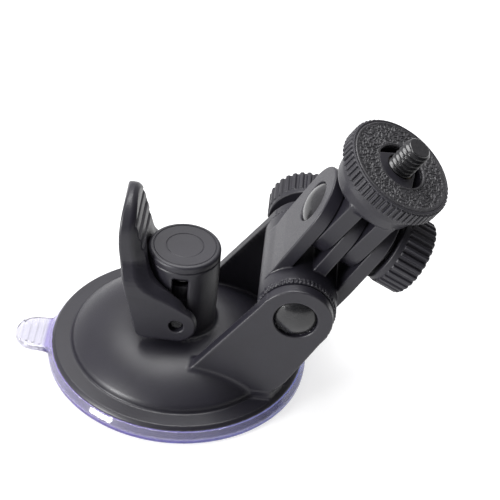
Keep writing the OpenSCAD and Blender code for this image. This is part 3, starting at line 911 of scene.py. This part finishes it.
def make_pad():
    """Round rubber pad with a modelled leather grain between two smooth rims."""
    noise.seed_set(GRAIN_SEED)
    low, high = local_box("lock_ring_pad", HEAD)
    bottom, top, outer, inner = low[2], high[2], -low[1], 6.0
    around, grain_depth = 620, 0.22
    rows = np.linspace(inner + 0.35, outer - 0.3, 60)
    angles = np.arange(around) * 2 * math.pi / around
    inner_rim = [(inner, bottom), (inner, top - 0.25), (inner + 0.08, top - 0.12), (inner + 0.25, top - 0.1)]
    outer_rim = [(outer - 0.2, top - 0.05), (outer - 0.06, top - 0.12), (outer, top - 0.25), (outer, bottom)]
    points = turn_rings(inner_rim, around).tolist()
    for radius in rows:
        fade = min((radius - rows[0]) / 0.5, (rows[-1] - radius) / 0.9, 1.0)
        for a in angles:
            x, y = radius * math.cos(a), radius * math.sin(a)
            sink = grain_depth * (1 - grain_height(x, y)) * max(fade, 0.0)
            points.append((x, y, top - 0.02 - sink))
    points += turn_rings(outer_rim, around).tolist()
    quads = ring_quads(len(points) // around, around, closed=True)[:, ::-1]
    piece("lock_ring_pad_grained", points, quads, HEAD, "ring", RUBBER,
          ["lock_ring_pad"])


# ---------- Clamps ----------


def make_clamp_knob(number, place, body):
    """Ridged knob with a smooth collar, and its cap sunk in the end."""
    node = f"clamp_knob_{number}"
    low, high = local_box(node, place)
    start, end, outer = low[2], high[2], -low[1]
    face = end - 8.5
    ridges, ridge_depth = 30, 0.5
    collar_r, pocket_r, pocket_depth, nut_flats, hole_r = 6.4, 6.6, 1.1, 8.1, 2.8

    def field(x, y, z):
        r = np.hypot(x, y)
        gaps = teeth(np.arctan2(y, x), ridges, 0.38, 0.34)
        grip = np.clip((z - face - 1.5) / 0.25, 0, 1)
        bevel = np.maximum(z - end + 0.5, 0) * 0.7
        skin = r - outer + 0.3 * (1 - grip) + ridge_depth * gaps * grip + bevel
        knob = extrude(skin, z, face, end, 0.3)
        collar = np.maximum(r - collar_r, slab(z, start, face + 1))
        knob = smooth_min(knob, collar, 0.3)
        knob = cut(knob, np.maximum(r - pocket_r, end - pocket_depth - z), 0.25)
        knob = cut(knob, np.maximum(hexagon(x, y, nut_flats), face + 2.6 - z), 0.2)
        return cut(knob, r - hole_r, 0.2)

    moulded(f"{node}_moulding", field, low, high, 0.26, place, body, BLACK_FINE, [node])
    cap_low, cap_high = local_box(f"knob_cap_{number}", place)
    bottom, top, rim = cap_low[2] + 0.02, cap_high[2] - 0.08, -cap_low[1] - 0.04
    profile = [(0, bottom), (rim, bottom), (rim, top - 0.25)]
    profile += arc((rim - 0.25, top - 0.25), 0.25, 0, 90, 5)[1:]
    profile += [(rim - 0.9, top), (rim - 1.1, top - 0.18), (rim - 1.4, top - 0.18), (rim - 1.6, top - 0.05),
                (0.7, top + 0.04), (0, top + 0.04)]
    points, quads = solid_lathe(profile, 96)
    piece(f"knob_cap_{number}_turned", points, quads, place, body, BLACK_TURNED,
          [f"knob_cap_{number}"], crease=35)


def make_clamp_bolt(number, place, body):
    """Carriage bolt: glossy domed head, square neck and a threaded end."""
    node = f"pivot_bolt_{number}"
    low, high = local_box(node, place)
    dome_low, end = low[2], high[2]
    dome_h, rim_h = 1.9, 0.25
    neck_half, neck_corner_r = 2.5, 3.3
    shank, pitch, thread_depth = 2.49, 0.8, 0.35
    thread_start = end - 9
    seat = dome_low + dome_h
    rise = dome_h - rim_h
    radius = (BOLT_HEAD_R**2 + rise**2) / (2 * rise)
    half = math.degrees(math.asin(BOLT_HEAD_R / radius))
    dome = arc((0, dome_low + radius), radius, -90, -90 + half, 14)
    under = [(BOLT_HEAD_R, seat - 0.05), (BOLT_HEAD_R - 0.05, seat), (neck_corner_r, seat), (0, seat)]

    def neck_r(angle, z):
        near = (angle + math.pi / 4) % (math.pi / 2) - math.pi / 4
        return np.minimum(neck_half / np.cos(near), neck_corner_r)

    def shank_r(angle, z):
        phase = (z / pitch - angle / (2 * math.pi)) % 1
        groove = thread_depth * np.clip(np.abs(phase - 0.5) * 2, 0, 1)
        return shank - groove * (z > thread_start) - 0.4 * max(z - end + 0.4, 0)

    heights = [seat + 1.7] + np.arange(thread_start, end, 0.1).tolist() + [end]
    parts = [solid_lathe(dome + under, 96), shaped_rod(neck_r, [seat - 0.1, seat + 1.8], 64),
             shaped_rod(shank_r, heights, 64)]
    starts = np.cumsum([0] + [len(p) for p, _ in parts])
    piece(f"{node}_domed", np.concatenate([p for p, _ in parts]),
          np.concatenate([q + s for (_, q), s in zip(parts, starts)]), place, body,
          STEEL, [node], crease=40)


def make_washer(number, place, body):
    """Plain washer with its edges rolled by stamping."""
    node = f"pivot_washer_{number}"
    low, high = local_box(node, place)
    inner, outer = 2.65, -low[1]
    corners = [(inner, low[2]), (outer, low[2]), (outer, high[2]), (inner, high[2])]
    points, quads = lathe(rounded(corners, 0.22), 96)
    piece(f"{node}_stamped", points, quads, place, body, ZINC, [node], crease=50)


# ---------- Spring, and CAD nodes that keep their shape ----------


def make_spring():
    """Helical compression spring with its wire cut flat."""
    low, high = box_mm("plunger_spring")
    wire, turns, sides = 0.42, 5.5, 12
    coil_r = high[0] - wire
    steps = int(turns * 40)
    points = []
    for i in range(steps + 1):
        a = 2 * math.pi * turns * i / steps
        z = low[2] + wire + (high[2] - low[2] - 2 * wire) * i / steps
        for k in range(sides):
            b = 2 * math.pi * k / sides
            r = coil_r + wire * math.cos(b)
            points.append((r * math.cos(a), r * math.sin(a), z + wire * math.sin(b)))
    faces = ring_quads(steps + 1, sides).tolist()
    faces += [list(reversed(range(sides))), [steps * sides + k for k in range(sides)]]
    mesh = bpy.data.meshes.new("plunger_spring_coil")
    mesh.from_pydata((np.array(points) * MM).tolist(), [], faces)
    mesh.polygons.foreach_set("use_smooth", [True] * len(mesh.polygons))
    spring = add_piece(mesh, "base", DARK_STEEL, ["plunger_spring"])
    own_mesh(spring)


def finish_cad_node(name, material, width):
    """Keeps a CAD node's shape, breaks its sharp edges and gives it a real finish."""
    thing = frame["nodes"][name]
    thing.data.materials.clear()
    thing.data.materials.append(material)
    thing.data.polygons.foreach_set("material_index", [0] * len(thing.data.polygons))
    soften = thing.modifiers.new("broken_edges", "BEVEL")
    soften.width = width * MM
    soften.segments = 2
    soften.limit_method = "ANGLE"
    soften.angle_limit = math.radians(40)


make_suction_cup()
make_base_shell()
make_tower_cap()
make_lever()
make_lever_pin()
make_elbow()
make_head()
make_camera_screw()
make_lock_ring()
make_pad()
make_spring()
for clamp, clamp_place, clamp_base, knob_body in (
        (1, KNOB_1, "base", "knob_1"),
        (2, KNOB_2, "elbow", "knob_2")):
    make_clamp_knob(clamp, clamp_place, knob_body)
    make_clamp_bolt(clamp, clamp_place, clamp_base)
    make_washer(clamp, clamp_place, clamp_base)
    finish_cad_node(f"pivot_nut_{clamp}", ZINC, 0.15)
finish_cad_node("plunger_stem", BLACK_FINE, 0.15)
finish_cad_node("lock_ring_insert", BRASS, 0.1)

# ---------- Floor and light ----------


def make_floor():
    """Plain pale floor."""
    mesh = bpy.data.meshes.new("floor")
    half = 3.0
    mesh.from_pydata([(-half, -half, 0), (half, -half, 0), (half, half, 0), (-half, half, 0)],
                     [], [(0, 1, 2, 3)])
    material, tree, shader = new_material("pale_floor")
    tint = mix_colours(tree, noise_at(tree, 60.0), (0.38, 0.38, 0.38), (0.40, 0.40, 0.40))
    tree.links.new(tint, shader.inputs["Base Color"])
    shader.inputs["Roughness"].default_value = 0.9
    shader.inputs["Specular IOR Level"].default_value = 0.1
    shader.inputs["Emission Color"].default_value = (1, 1, 1, 1)
    shader.inputs["Emission Strength"].default_value = 0.72
    mesh.materials.append(material)
    floor = bpy.data.objects.new("floor", mesh)
    floor.location.z = -0.0002
    bpy.context.scene.collection.objects.link(floor)


def make_softbox(name, azimuth, elevation, distance, width, height, power):
    """A rectangular soft light aimed at the object; azimuth turns from -Y towards +X."""
    az, el = math.radians(azimuth), math.radians(elevation)
    away = Vector((math.sin(az) * math.cos(el), -math.cos(az) * math.cos(el), math.sin(el)))
    data = bpy.data.lights.new(name, "AREA")
    data.shape = "RECTANGLE"
    data.size, data.size_y = width, height
    data.energy = power
    light = bpy.data.objects.new(name, data)
    light.location = VIEW_TARGET + away * distance
    light.rotation_euler = away.to_track_quat("Z", "Y").to_euler()
    bpy.context.scene.collection.objects.link(light)


def make_world():
    """Soft even surroundings, a little darker to the right."""
    world = bpy.data.worlds.new("studio")
    bpy.context.scene.world = world
    world.use_nodes = True
    tree = world.node_tree
    tree.nodes.clear()
    direction = add_node(tree, "ShaderNodeTexCoord").outputs["Generated"]
    toward = add_node(tree, "ShaderNodeVectorMath", {0: direction, 1: (-0.55, 0.45, 0.7)},
                      operation="DOT_PRODUCT").outputs["Value"]
    level = add_node(tree, "ShaderNodeMapRange", {
        "Value": toward, "From Min": -0.3, "From Max": 0.95, "To Min": 0.03, "To Max": 1.0},
        interpolation_type="SMOOTHSTEP").outputs["Result"]
    light = add_node(tree, "ShaderNodeBackground", {"Color": (0.97, 0.955, 1.0, 1), "Strength": level})
    output = add_node(tree, "ShaderNodeOutputWorld")
    tree.links.new(light.outputs["Background"], output.inputs["Surface"])


make_floor()
make_world()
make_softbox("key", -52, 15, 0.75, 0.24, 0.28, 7.5)
make_softbox("top", -150, 72, 0.9, 0.6, 0.6, 10.0)
bpy.context.scene.view_settings.view_transform = "Standard"
